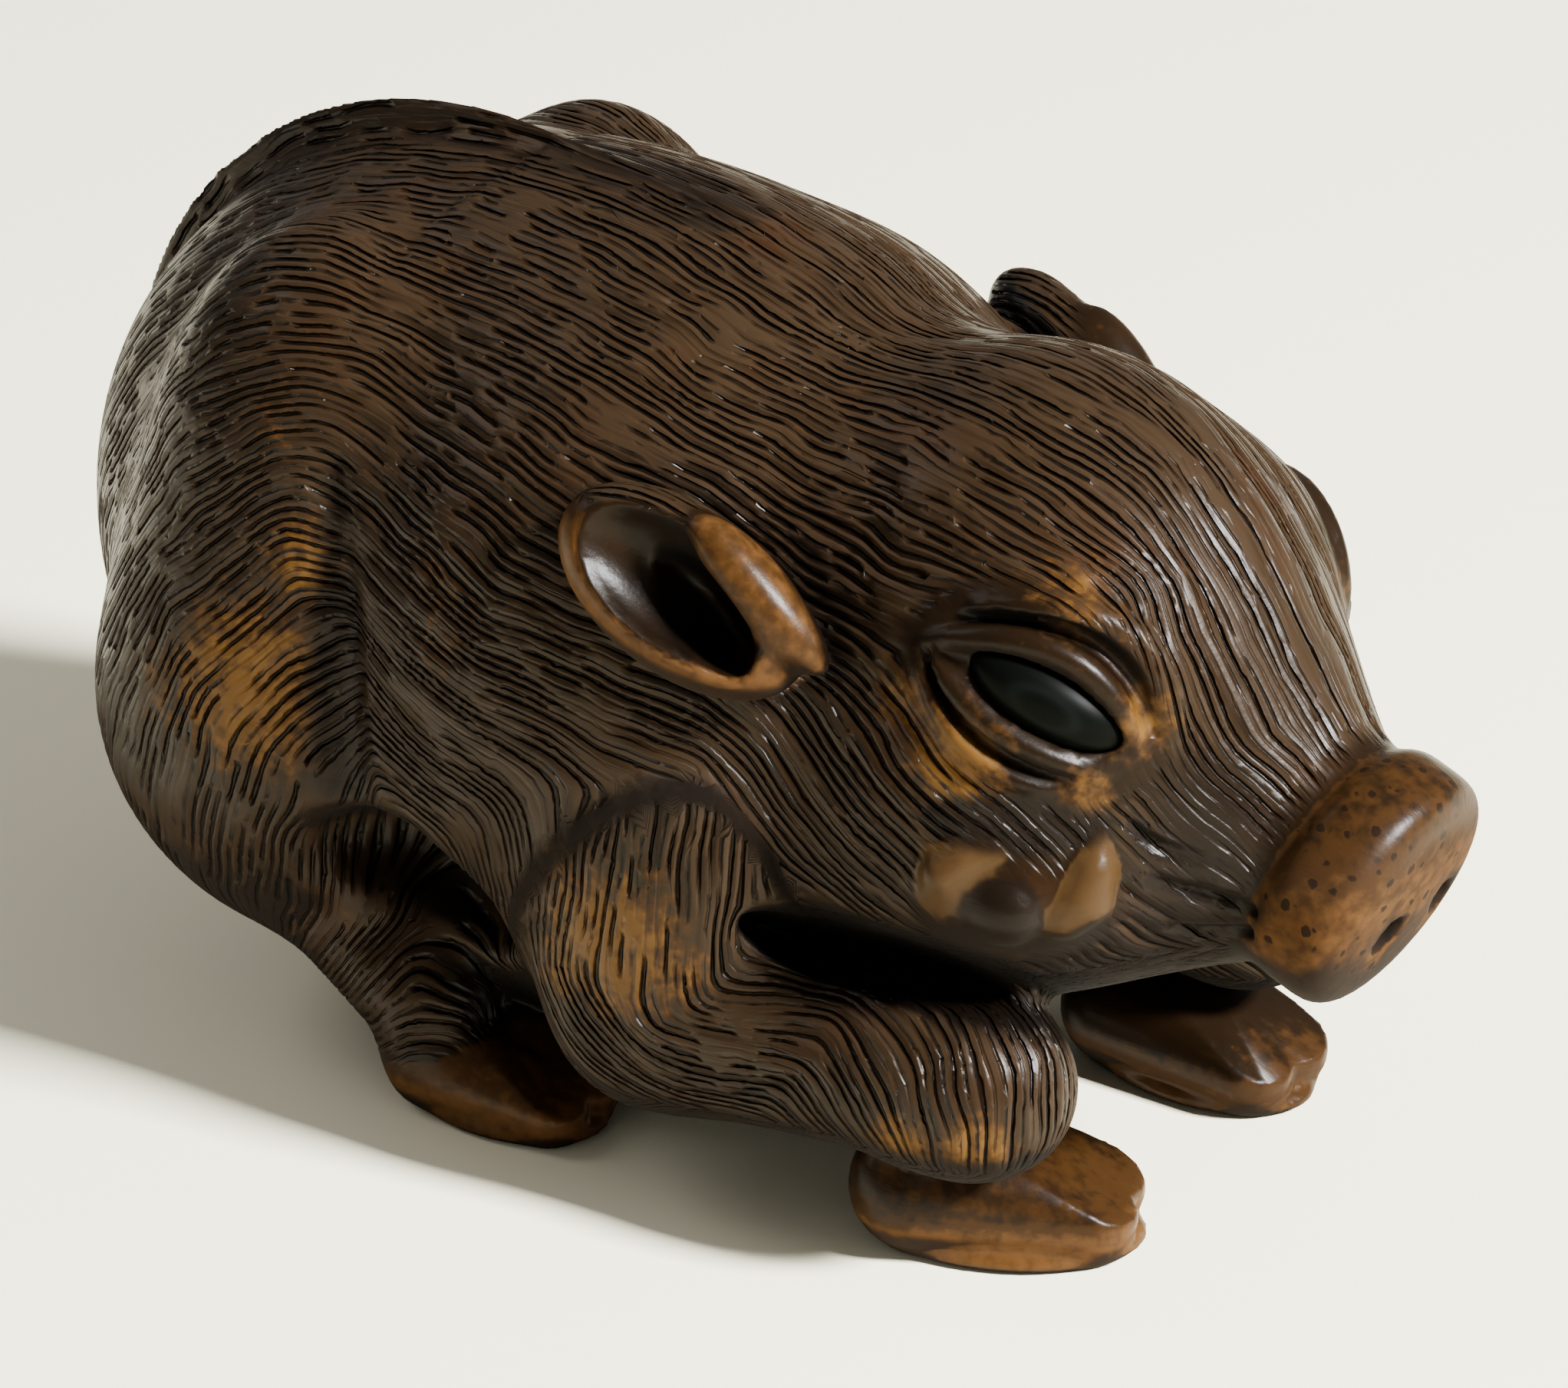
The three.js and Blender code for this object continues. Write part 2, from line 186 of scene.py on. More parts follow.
forearm = rod((1.6, -8.1, 5.6), (9.3, -7.2, 6.2), (2.7, 2.7))
wrist = egg((11.3, -6.9, 6.1), (3.4, 2.8, 2.9))
arm = both(join(join(upper_arm, forearm, 1.5), wrist, 1.0))
right_hoof = toes((9.1, -5.6, 1.85), (13.4, -3.4, 1.3), (1.95, 1.4))
left_hoof = toes((8.2, 6.7, 1.7), (12.8, 6.4, 1.25), (1.85, 1.35))
haunch_fold = both(bent_rod((-8.3, -10.0, 20.0), (-7.6, -11.0, 16.0), (-7.4, -11.2, 11.2),
                            (0.1, 0.4, 0.6, 0.7, 0.6)))
jaw_slot = both(egg((9.3, -8.0, 9.6), (4.8, 2.6, 0.75), (0, -5, -34)))

trunk = barrel
for mass, soft in ((chest, 6), (shoulder, 2.5), (haunch, 1.5), (crest, 0.6), (tail, 0.5), (head, 2),
                   (snout, 0.4), (shank, 0.7), (hind_hoof, 1)):
    trunk = join(trunk, mass, soft)
trunk = carve(trunk, under_flank, 0.8)
boar = trunk
for mass, soft in ((arm, 0.9), (right_hoof, 0.4), (left_hoof, 0.4)):
    boar = join(boar, mass, soft)
boar = carve(boar, haunch_fold, 1.0)
boar = carve(boar, jaw_slot, 0.5)

# The ears: thin shells left standing from the block, hollowed with a round gouge down to a deep hole.
# A full, polished lobe bends round the front. Parts are placed from the ear's middle: along it to the front,
# in from its face, and up across it.
EAR_MIDDLE, EAR_TURNS = (3.9, -9.2, 19.5), (14, 30, -20)
HOLE_TURNS = (14, 46, -20)


def in_ear(at, radii, turns=EAR_TURNS):
    """A mass placed from the right ear's middle."""
    return egg(EAR_MIDDLE + turned(EAR_TURNS) @ at, radii, turns)


ear_shell = in_ear((-0.3, 0, -0.1), (3.9, 1.6, 2.3))
ear_hollow = in_ear((-0.6, -1.55, 0.1), (3.2, 1.5, 1.65))
ear_hole = both(in_ear((0.45, -1.0, -0.1), (2.1, 2.4, 0.95), HOLE_TURNS))
ear_lobe = both(in_ear((1.55, -0.55, 1.2), (2.7, 0.95, 0.85), HOLE_TURNS))
boar = join(boar, both(carve(ear_shell, ear_hollow, 0.2)), 0.4)
boar = join(boar, ear_lobe, 0.4)
boar = carve(boar, ear_hole, 0.25)

# The eye sockets: fine lids cut as ridges that bow round a slit, two below it with a groove between them,
# and over the right eye a brow with a crease under it. They lie on the head, and are placed from the eye's
# middle: along the slit to the front, and up.
EYE_MIDDLE, EYE_TURNS = (12.95, -6.15, 17.95), (24, 28, -8)
EYE_SEAT, EYE_RADII = (0.35, -0.05, 0.2), (2.3, 1.1, 1.05)
EYE_GAP = 0.03
LID_POINTS, LID_FADE, OUTSIDE = 13, 0.6, -6.0
eye_place = EYE_MIDDLE + turned(EYE_TURNS) @ EYE_SEAT


def meet(form, start, towards, tries=80, step=0.8):
    """The points where lines from outside reach a form."""
    p = np.array(start, float)
    for _ in range(tries):
        p += step * form(p)[:, None] * towards
    return p


def lid(start, by, end, thick):
    """A ridge or groove on the head, fading towards its ends."""
    line = bow(start, by, end, LID_POINTS)
    outside = np.stack([line[:, 0], np.full(LID_POINTS, OUTSIDE), line[:, 1]], 1)
    inward = turned(EYE_TURNS) @ [0, 1, 0]
    fading = 1 - LID_FADE * np.linspace(-1, 1, LID_POINTS) ** 4
    return strand(meet(head, EYE_MIDDLE + outside @ turned(EYE_TURNS).T, inward), thick * fading)


brow = lid((-2.4, 1.3), (0.9, 2.75), (3.6, 1.3), 0.45)
crease = lid((-2.8, 0.7), (0.3, 2.2), (3.2, 0.9), 0.3)
upper_lid = both(lid((-3.2, -0.3), (0.0, 1.55), (3.0, 0.3), 0.42))
lower_lid = both(lid((-2.9, -0.4), (-0.7, -1.05), (2.4, -0.8), 0.36))
groove = both(lid((-3.0, -0.5), (-0.9, -1.5), (2.0, -1.3), 0.2))
lower_rim = both(lid((-3.3, -0.6), (-1.0, -1.95), (1.6, -1.8), 0.28))
eye_socket = both(egg(eye_place, np.add(EYE_RADII, EYE_GAP), EYE_TURNS))
boar = carve(join(boar, brow, 0.5), crease, 0.2)
for ridge in (upper_lid, lower_lid, lower_rim):
    boar = join(boar, ridge, 0.2)
boar = carve(boar, groove, 0.12)
boar = carve(boar, eye_socket, 0.08)

# The mouth and nose: a swollen lip with a dark bead on it, a rim curled round the back of the bead, the root
# of a tusk in front, three wrinkles on the muzzle, and two nostrils drilled in the flat of the snout.
lip = both(egg((12.9, -6.7, 12.4), (2.75, 1.5, 1.75), (33, 0, 0)))
bead = both(egg((13.0, -7.55, 12.25), (1.25, 0.95, 1.1)))
lip_rim = both(bent_rod((12.9, -7.75, 13.9), (11.55, -8.25, 12.6), (13.2, -7.15, 10.6),
                        (0.25, 0.55, 0.7, 0.6, 0.35, 0.22, 0.15)))
tusk = both(bent_rod((13.9, -7.0, 12.0), (14.8, -6.4, 12.6), (15.05, -6.0, 14.4),
                     (0.55, 0.75, 0.85, 0.7, 0.25)))
WRINKLE_THICK = (0.12, 0.22, 0.22, 0.12)
high_wrinkle = bent_rod((15.8, -5.5, 14.6), (16.5, -4.9, 13.9), (17.9, -3.9, 13.4), WRINKLE_THICK)
wrinkle = bent_rod((16.2, -5.1, 13.0), (17.3, -4.0, 12.4), (18.5, -3.4, 12.1), WRINKLE_THICK)
low_wrinkle = bent_rod((16.3, -4.4, 11.3), (17.3, -3.5, 11.1), (18.5, -3.3, 11.5), WRINKLE_THICK)
wrinkles = both(lambda p: np.minimum.reduce([line(p) for line in (high_wrinkle, wrinkle, low_wrinkle)]))
nostril = egg((21.2, -0.75, 10.9), (1.0, 0.5, 0.65), (0, 18, -30))
far_nostril = egg((21.2, 2.1, 10.9), (1.0, 0.5, 0.65), (0, 18, 30))
for mass, soft in ((lip, 0.5), (lip_rim, 0.15), (tusk, 0.12), (bead, 0.08)):
    boar = join(boar, mass, soft)
for tool, soft in ((wrinkles, 0.15), (nostril, 0.12), (far_nostril, 0.12)):
    boar = carve(boar, tool, soft)

# The fur: short hairs cut one beside another with a V-shaped graver, each following the lie of the coat.
# The lie is combed from the places below, each with the way that the hair runs there, and the left side
# mirrors the right. Snout, ears, lids, lips and hooves are left smooth.
COMBED = {
    "rump": ((-22, 0, 21), (0.8, 0, 0.6)), "side of the rump": ((-19, -5, 20), (0.8, -0.2, 0.6)),
    "by the tail": ((-22, -3.5, 13), (0.5, -0.5, 0.7)), "under the tail": ((-20, -4, 6), (0.2, -0.5, 0.8)),
    "back": ((-13, -3, 25.5), (1, 0, 0.3)), "middle of the back": ((-5, -4.5, 25.5), (1, -0.1, -0.1)),
    "withers": ((0, -4, 25), (1, 0, -0.3)), "nape": ((2.5, -3.5, 24), (0.9, 0.35, -0.3)),
    "top of the haunch": ((-12, -10, 21), (1, 0, 0.3)), "haunch": ((-11.5, -11.3, 16.5), (0.85, 0.1, 0.5)),
    "front of the haunch": ((-9, -11.4, 14), (0.25, 0.2, 0.95)),
    "back of the haunch": ((-18, -8, 16.5), (0.7, -0.5, 0.5)), "knee": ((-15, -11.5, 13), (0.55, 0, 0.85)),
    "under the haunch": ((-12, -12, 10), (0.25, -0.1, 0.95)), "shin": ((-9.5, -11.8, 10), (0, -0.1, 1)),
    "top of the flank": ((-4.5, -8, 23), (1, -0.2, -0.1)), "flank": ((-4, -10.5, 19), (0.9, -0.25, -0.35)),
    "flank behind": ((-7, -10, 18.5), (0.75, -0.15, -0.65)),
    "flank before": ((0, -11, 16.5), (1, 0.2, -0.1)),
    "under the flank": ((-4, -11.3, 13.7), (1, -0.1, -0.2)),
    "behind the ear": ((-1.7, -9, 22), (0.95, -0.1, -0.3)),
    "under the ear": ((2, -10.4, 15.3), (0.95, 0.35, -0.15)),
    "shoulder": ((1.7, -11, 12), (0, -0.1, -1)), "back of the arm": ((-0.2, -10.8, 9.4), (0, 0.1, -1)),
    "arm": ((3.8, -10.7, 9), (-0.15, 0, -1)), "front of the arm": ((4.4, -10.3, 11.5), (0.1, -0.15, -1)),
    "elbow": ((1, -11, 5.6), (0.9, -0.2, -0.4)), "forearm": ((5.5, -10.5, 6), (0.95, 0.2, 0.2)),
    "top of the forearm": ((7, -9.3, 8), (0.9, 0.4, 0.2)), "wrist": ((10, -9.4, 7.6), (0.9, -0.25, -0.4)),
    "end of the wrist": ((13, -9.3, 6.6), (0.15, -0.15, -1)),
    "top of the wrist": ((14, -7.2, 7.7), (0.6, -0.1, -0.8)),
    "under the wrist": ((9.1, -9.7, 5), (0.4, 0.4, -0.8)),
    "crown": ((7.8, -3.2, 23.8), (1, -0.15, 0)), "forehead": ((12.2, -1.6, 23.5), (0.9, 0.25, -0.4)),
    "between the eyes": ((14.8, -1.5, 21.6), (0.7, 0.15, -0.7)),
    "brow": ((13.4, -4.4, 21.5), (0.87, 0.27, -0.4)), "before the eye": ((16, -3.2, 19), (0.55, 0.1, -0.85)),
    "bridge of the nose": ((17.5, -1.5, 17.6), (0.55, 0.1, -0.85)),
    "side of the nose": ((18, -3, 15.5), (0.7, 0.4, -0.6)),
    "behind the snout": ((19, -0.5, 16), (0.8, 0, -0.6)),
    "temple": ((7.3, -6.8, 20), (1, 0, -0.1)), "behind the eye": ((9, -6.9, 19.9), (1, 0, 0)),
    "cheek": ((8.5, -8.1, 16.2), (0.9, -0.15, -0.45)), "jowl": ((7.5, -8.6, 14), (0.7, -0.1, -0.7)),
    "jaw": ((10, -8.6, 12), (0.9, 0.15, -0.45)), "chin": ((12, 0, 7), (1, 0, 0.2)),
    "chest": ((0, 0, 3.4), (1, 0, 0.1)), "belly": ((-8, -3, 1), (1, 0, 0)),
}
LIE_SOFT, LIE_FALL, LIE_PARTS = 0.5, 2.5, 40
HAIR_PITCH, HAIR_DEPTH, HAIR_LENGTH = 0.27, 0.1, 0.95
HAIR_HALF_WIDTH, HAIR_RISE, HAIR_OFFSET = 0.4, 0.7, 7.31
FAINT, FIRM = 0.3, 0.62
STRAY, STRAY_PASSES, STRAY_SPREAD = 0.2, 50, 6
CHANCES = 997
NET_LOW, NET_HIGH, NET_STEP = (-26, -13.4, -1.0), (23, 13.4, 29.6), 0.15
COUNT_ROUNDS, SLACK = 500, 0.002
BELLY_COAT, LEAST_COAT, FACING_DOWN = 0.3, 0.02, -0.6
MOST_FACES = 198500


def in_parts(form, p, most=200000):
    """A form's values at many points, a part of them at a time."""
    return np.concatenate([form(part) for part in np.array_split(p, 1 + len(p) // most)])


def skin(form, low, high, step, block=6, middle=0.4, spare=1.1):
    """A closed net of quads over a form, which is read once for each block of cells far from its surface."""
    cells = np.ceil((np.array(high) - low) / (block * step)).astype(int)
    corners = np.indices(cells).reshape(3, -1).T
    rough = form(low + (corners + middle) * block * step)
    field = rough.astype(np.float32).reshape(cells).repeat(block, 0).repeat(block, 1).repeat(block, 2)
    inner = np.indices((block,) * 3).reshape(3, -1).T.astype(np.int16)
    near = corners[abs(rough) < spare * block * step].astype(np.int16)
    where = (near[:, None] * block + inner).reshape(-1, 3)
    field[tuple(where.T)] = in_parts(lambda part: form(low + part * step), where)
    grid = openvdb.FloatGrid()
    grid.copyFromArray(field)
    points, quads = grid.convertToQuads(0.0)
    return low + points * step, quads.astype(np.int32)


def read(values, name, width):
    """One of Blender's lists of values as an array."""
    flat = np.empty(len(values) * width, np.float32)
    values.foreach_get(name, flat)
    return flat.reshape(-1, width).astype(float) if width > 1 else flat.astype(float)


def tell(mesh, name, values):
    """Keeps a value at each point of a mesh."""
    mesh.attributes.new(name, "FLOAT", "POINT").data.foreach_set("value", values.astype(np.float32))


def with_modifier(thing, kind, **settings):
    """A piece's mesh after one of Blender's modifiers."""
    modifier = thing.modifiers.new(kind, kind)
    for name, value in settings.items():
        setattr(modifier, name, value)
    bpy.context.view_layer.update()
    made = bpy.data.meshes.new_from_object(thing.evaluated_get(bpy.context.evaluated_depsgraph_get()))
    used = thing.data
    thing.modifiers.clear()
    thing.data = made
    bpy.data.meshes.remove(used)
    return made


def smooth(value, low, high):
    """Runs softly from 0 to 1 as a value goes from low to high."""
    t = np.clip((value - low) / (high - low), 0, 1)
    return t * t * (3 - 2 * t)


def cut_flat(p):
    """The boar with its soles cut flat where they rest."""
    return np.maximum(boar(p), -p[:, 2])


def ear_front(p, edge=0.3):
    """The right ear but for its upper edge, where the coat runs on to it."""
    return np.maximum(ear_shell(p), (p - EAR_MIDDLE) @ turned(EAR_TURNS)[:, 2] - edge)


points, quads = skin(cut_flat, NET_LOW, NET_HIGH, NET_STEP)
net = bpy.data.meshes.new("boar_carving")
net.from_pydata(points, [], quads)
carving = bpy.data.objects.new("boar_carving", net)
bpy.context.scene.collection.objects.link(carving)
out = read(net.vertex_normals, "vector", 3)

# How deep the graver goes at each point: not at all on the smooth parts, and lightly on the underside.
# Each smooth part has the distances from it where the cuts begin and where they reach their depth.
eye_field = both(egg(EYE_MIDDLE, (3.6, 2.5, 2.5), EYE_TURNS))
muzzle_skin = both(egg((16.8, -3.8, 13.6), (2.4, 2.4, 3.2)))
smooth_parts = [(snout, 0.2, 0.9), (both(ear_front), 0.05, 0.5), (ear_lobe, 0.05, 0.5),
                (both(ear_hollow), 0.0, 0.25), (eye_field, 0.0, 0.6), (lip, 0.0, 0.5), (lip_rim, 0.0, 0.4),
                (tusk, 0.0, 0.4), (bead, 0.0, 0.4), (hind_hoof, 0.0, 0.6), (right_hoof, 0.0, 0.3),
                (left_hoof, 0.0, 0.3), (tail, 0.0, 0.3), (haunch_fold, -0.1, 0.15), (muzzle_skin, -2.6, 0.3)]
coat = BELLY_COAT + (1 - BELLY_COAT) * smooth(out[:, 2], -0.75, -0.35)
for form, none, full in smooth_parts:
    coat *= smooth(in_parts(form, points), none, full)
from_arm = in_parts(arm, points) - in_parts(trunk, points)
coat *= smooth(abs(from_arm), 0.05, 0.2)

places, ways = map(np.array, zip(*COMBED.values()))
places = np.concatenate([places, places * [1, -1, 1]])
ways = np.concatenate([ways, ways * [1, -1, 1]])
lie = np.zeros_like(points)
for part in np.array_split(np.arange(len(points)), LIE_PARTS):
    gaps = ((points[part, None] - places) ** 2).sum(2)
    lie[part] = (gaps + LIE_SOFT) ** -LIE_FALL @ ways
lie -= (lie * out).sum(1)[:, None] * out
lie /= np.maximum(np.linalg.norm(lie, axis=1, keepdims=True), 1e-9)

# The hairs are counted across their lie: every edge of the net says how many hairs it should cross, and the
# count that suits all edges best is found by conjugate gradients. The belly and the edge of the arm are left
# open, so that the count needn't close there.
ends = np.concatenate([quads[:, [0, 1]], quads[:, [1, 2]], quads[:, [2, 3]], quads[:, [3, 0]]])
one, other = np.unique(np.sort(ends, axis=1), axis=0).T
across = np.cross(out, lie)
crossed = ((across[one] + across[other]) / 2 * (points[other] - points[one])).sum(1) / HAIR_PITCH
furry = (coat > LEAST_COAT) & (out[:, 2] > FACING_DOWN)
on_arm = from_arm < 0
kept = furry[one] & furry[other] & (on_arm[one] == on_arm[other])
weight = np.where(kept, 1.0, SLACK)


def gathered(flow):
    """What flows along the net's edges into each point."""
    return np.bincount(other, flow, len(points)) - np.bincount(one, flow, len(points))


ease = 1 / (np.bincount(one, weight, len(points)) + np.bincount(other, weight, len(points)))
hairs = np.zeros(len(points))
left = gathered(kept * crossed)
push = ease * left
size = left @ push
for _ in range(COUNT_ROUNDS):
    pull = gathered(weight * (push[other] - push[one]))
    share = size / (push @ pull)
    hairs += share * push
    left -= share * pull
    eased = ease * left
    size, before = left @ eased, size
    push = eased + size / before * push

# No hair is quite straight: the count strays a little from place to place.
stray = np.random.default_rng(7).normal(size=len(points))
for _ in range(STRAY_PASSES):
    stray += gathered(stray[one] - stray[other]) / STRAY_SPREAD
hairs += stray * STRAY / stray.std()
tell(net, "hairs", hairs)
tell(net, "coat", coat)

# The net is split finer, and each hair is cut as a V between ridges, here deep and there not at all.
fine = with_modifier(carving, "SUBSURF", subdivision_type="SIMPLE", levels=1)
points = read(fine.vertices, "co", 3)
hairs, coat = (read(fine.attributes[name].data, "value", 1) for name in ("hairs", "coat"))
edges = np.empty(2 * len(fine.edges), np.int32)
fine.edges.foreach_get("vertices", edges)
one, other = edges.reshape(-1, 2).T
near, far = np.append(one, other), np.append(other, one)
beside = np.stack([np.bincount(near, points[far, n], len(points)) for n in range(3)], 1)
points = (points + beside / np.bincount(edges, minlength=len(points))[:, None]) / 2
points[:, 2] = np.maximum(points[:, 2], 0)
fine.vertices.foreach_set("co", points.astype(np.float32).ravel())
fine.update()
out = read(fine.vertex_normals, "vector", 3)
chance = np.random.default_rng(8).uniform(size=CHANCES)


def wavy(at):
    """A smooth random value along a line of numbers."""
    low = np.floor(at).astype(int)
    t = smooth(at - low, 0, 1)
    return (1 - t) * chance[low % len(chance)] + t * chance[(low + 1) % len(chance)]


which = np.round(hairs)
run = (points[:, 0] + HAIR_RISE * points[:, 2]) / HAIR_LENGTH + HAIR_OFFSET * which
firm = smooth(wavy(run), FAINT, FIRM)
deep = firm * coat * np.maximum(1 - abs(hairs - which) / HAIR_HALF_WIDTH, 0)
points -= (HAIR_DEPTH * deep)[:, None] * out
points[:, 2] = np.maximum(points[:, 2], 0)
fine.vertices.foreach_set("co", points.astype(np.float32).ravel())
tell(fine, "firm", firm)
fine.update()
final = with_modifier(carving, "DECIMATE", ratio=MOST_FACES / (2 * len(fine.polygons)))
points = read(final.vertices, "co", 3)
out = read(final.vertex_normals, "vector", 3)

# The finish: a dark umber stain rubbed into the cuts, and the high places polished and worn paler by hands,
# most on the right. Each point is told how sheltered it is for the painted shade in its hollows, how worn,
# whether its wood is bare, how dull it is, and where it is darkened by stain or by painted shade.
# A worn place has its middle, its size and how far it is worn.
WORN = {
    "haunch": ((-10.3, -11.8, 13.5), 3.6, 1.0), "knee": ((-13, -11.9, 13), 2.4, 0.6),
    "edge of the haunch": ((-8.7, -10.6, 17.5), 1.9, 0.75), "hip": ((-10.3, -10, 21.3), 1.4, 0.35),
    "flank": ((-3.5, -10.6, 18), 2.2, 0.4), "under the flank": ((-3.5, -11.2, 16.2), 1.2, 0.4),
    "arm": ((2.2, -11, 9), 3.2, 1.0), "back of the arm": ((0.3, -10.8, 7.6), 1.7, 0.8),
    "front of the arm": ((4.4, -10.5, 8.6), 1.5, 0.7), "shin": ((-8, -10.8, 6), 1.4, 0.6),
    "fringe of the wrist": ((11.3, -9.6, 5.3), 1.3, 1.0), "end of the wrist": ((13.3, -9, 5.6), 1.4, 0.9),
    "under the eye": ((11.7, -7.9, 16.3), 2.0, 1.0), "behind the eye": ((9.8, -7.7, 17.5), 1.4, 0.7),
    "before the eye": ((15.7, -4.9, 17.6), 1.3, 0.85), "cheek": ((14.8, -6.3, 15.6), 1.1, 0.75),
    "brow": ((13.5, -5.2, 20.5), 1.8, 0.6), "forehead": ((8, -5, 22.5), 1.5, 0.2),
}
WORN_THROUGH, WORN_TO = 0.15, 1.25
SHELTER_REACHES = ((0.35, 0.9), (1.2, 0.8), (3.5, 1.0))
LEFT_WEAR, MIDDLE_WIDTH = 0.35, 1.5
SNOUT_TOP, SOLE_EDGE = (12.2, 15.2), (2.3, 1.1)


def close_to(form, none, full):
    """How close each point is to a form: 0 at one distance and 1 at the other."""
    return smooth(in_parts(form, points), none, full)


def strongest(*marks):
    """The strongest of several marks at each point, each mark with its share."""
    return np.maximum.reduce([share * mark for mark, share in marks])


right_side = LEFT_WEAR + (1 - LEFT_WEAR) * smooth(points[:, 1], MIDDLE_WIDTH, -MIDDLE_WIDTH)
worn = np.zeros(len(points))
for place, size, share in WORN.values():
    gap = np.linalg.norm(to_right(points) - place, axis=1)
    worn = np.maximum(worn, share * (1 - smooth(gap, WORN_THROUGH * size, WORN_TO * size)))
# Painted shade: how far the form round each point shelters it, at three reaches, darkens the hollows.
shade = np.zeros(len(points))
for reach, share in SHELTER_REACHES:
    shade = np.maximum(shade, share * np.clip(1 - in_parts(boar, points + reach * out) / reach, 0, 1))
ear_up = (to_right(points) - EAR_MIDDLE) @ turned(EAR_TURNS)[:, 2]
ear_rim = close_to(both(ear_shell), 0.55, 0.2) * close_to(both(ear_hollow), 0.0, 0.15)
ear_rim *= smooth(ear_up, 0.9, -0.4)
lobe = close_to(ear_lobe, 0.2, 0.05)
on_snout = close_to(snout, 0.35, 0.1)
snout_top = smooth(points[:, 2], *SNOUT_TOP)
snout_bare = on_snout * (1 - 0.45 * snout_top)
on_hind_hoof = close_to(hind_hoof, 0.25, 0.05)
on_forehoof = np.maximum(close_to(right_hoof, 0.25, 0.05), close_to(left_hoof, 0.25, 0.05))
on_hoof = np.maximum(on_hind_hoof, on_forehoof)
soles = on_hoof * smooth(points[:, 2], *SOLE_EDGE)
arm_edge = smooth(abs(in_parts(arm, points) - in_parts(trunk, points)), 0.4, 0.1)
above_lip = both(egg((13.2, -7.2, 14.7), (2.6, 1.2, 0.8), (33, 0, 0)))
told = {
    # painted shade in the hollows, half as strong on the hooves
    "shade": shade * (1 - 0.5 * on_hoof),
    "worn": worn * right_side,
    "bare": strongest((snout_bare, 1), (lobe * right_side, 0.9), (ear_rim * right_side, 1.1),
                      (soles * (0.6 + 0.5 * right_side), 1), (on_hoof * right_side, 0.5),
                      (on_hind_hoof * right_side, 0.8)),
    "snout": on_snout,
    "dull": strongest((on_snout * (1 - snout_top), 1), (smooth(out[:, 2], 0.0, -0.35), 1), (arm_edge, 1)),
    "horn": strongest((close_to(tusk, 0.15, 0.03), 1), (close_to(lip_rim, 0.3, 0.12), 0.8)),
    # stain on the bead, above the lip, on the muzzle and in the wrinkles; painted shade in the nostrils, on
    # the undersides and in the haunch's fold; and the join of arm and body darkened to the fur's tone
    "stain_and_shade": strongest((close_to(bead, 0.15, 0.05), 1), (close_to(nostril, 0.12, 0.0), 1),
                        (close_to(far_nostril, 0.12, 0.0), 1), (close_to(above_lip, 0.5, -0.3), 0.85),
                        (close_to(wrinkles, 0.2, 0.0), 1), (smooth(out[:, 2], -0.2, -0.5), 0.8),
                        (close_to(muzzle_skin, 1.0, -0.5) * (1 - snout_bare), 0.5),
                        (close_to(haunch_fold, 0.9, 0.0), 0.7), (arm_edge, 0.5)),
}
for name, values in told.items():
    tell(final, name, values)

MM = 0.001
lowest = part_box("boar")[0]
shift = lowest.x / MM - points[:, 0].min()
placed = (points + (shift, 0, 0)) * MM
final.vertices.foreach_set("co", placed.astype(np.float32).ravel())
final.polygons.foreach_set("use_smooth", np.ones(len(final.polygons), bool))
final.update()


def colour(code):
    """Linear colour of an sRGB hex value."""
    parts = [int(code[i:i + 2], 16) / 255 for i in (1, 3, 5)]
    return (*(p / 12.92 if p <= 0.04045 else ((p + 0.055) / 1.055) ** 2.4 for p in parts), 1)


def put(tree, kind, inputs, **settings):
    """Adds a node with its settings, and sets or links its inputs. Returns its outputs."""
    made = tree.nodes.new(kind)
    for name, value in settings.items():
        setattr(made, name, value)
    for key, value in inputs.items():
        if isinstance(value, bpy.types.NodeSocket):
            tree.links.new(value, made.inputs[key])
        else:
            made.inputs[key].default_value = value
    return made.outputs


def material(name):
    """A new material with its nodes and its shader's inputs."""
    made = bpy.data.materials.new(name)
    made.use_nodes = True
    return made, made.node_tree, made.node_tree.nodes["Principled BSDF"].inputs


# Stained boxwood, cut with gravers and polished by hand: umber in the cuts, brown on the hairs and ochre
# where it is rubbed. The stain lies in blotches, rubbed through in specks, the grain runs along the body and
# the bare snout has open pores. Real pores and grain are finer: they are drawn coarse enough to show.
GRAIN_WIDTH, GRAIN_STRETCH = 0.35, 0.12
BLOTCH_SIZE, SPECK_SIZE, PORE_SPACING = 3, 0.45, 0.6
TONE_LENGTH, TONE_PER_HAIR = 3.3, 1.3
POLISHED, DULL = 0.33, 0.9
GRAIN_DEPTH, FURROW_DEPTH = 0.04, 0.15
TONE_IN_CUT, CUT_IN_HAIR, CUT_IN_WEAR = 1.2, -0.7, -0.6
SPECK_IN_WEAR, SPECK_IN_BARE, SPECK_IN_PORE = 1.5, 0.8, -0.9
wood, tree, shader = material("stained_boxwood")
where = put(tree, "ShaderNodeTexCoord", {})["Object"]
has = {name: put(tree, "ShaderNodeAttribute", {}, attribute_name=name)["Fac"]
       for name in (*told, "hairs", "firm", "coat")}
along = put(tree, "ShaderNodeMapping", {"Vector": where, "Scale": (GRAIN_STRETCH, 1, 1)})["Vector"]
grain = put(tree, "ShaderNodeTexNoise", {"Vector": along, "Scale": 1 / (GRAIN_WIDTH * MM), "Detail": 4,
                                         "Roughness": 0.6})[0]
blotch = put(tree, "ShaderNodeTexNoise", {"Vector": where, "Scale": 1 / (BLOTCH_SIZE * MM), "Detail": 5,
                                          "Roughness": 0.6})[0]
speck = put(tree, "ShaderNodeTexNoise", {"Vector": where, "Scale": 1 / (SPECK_SIZE * MM), "Detail": 3})[0]
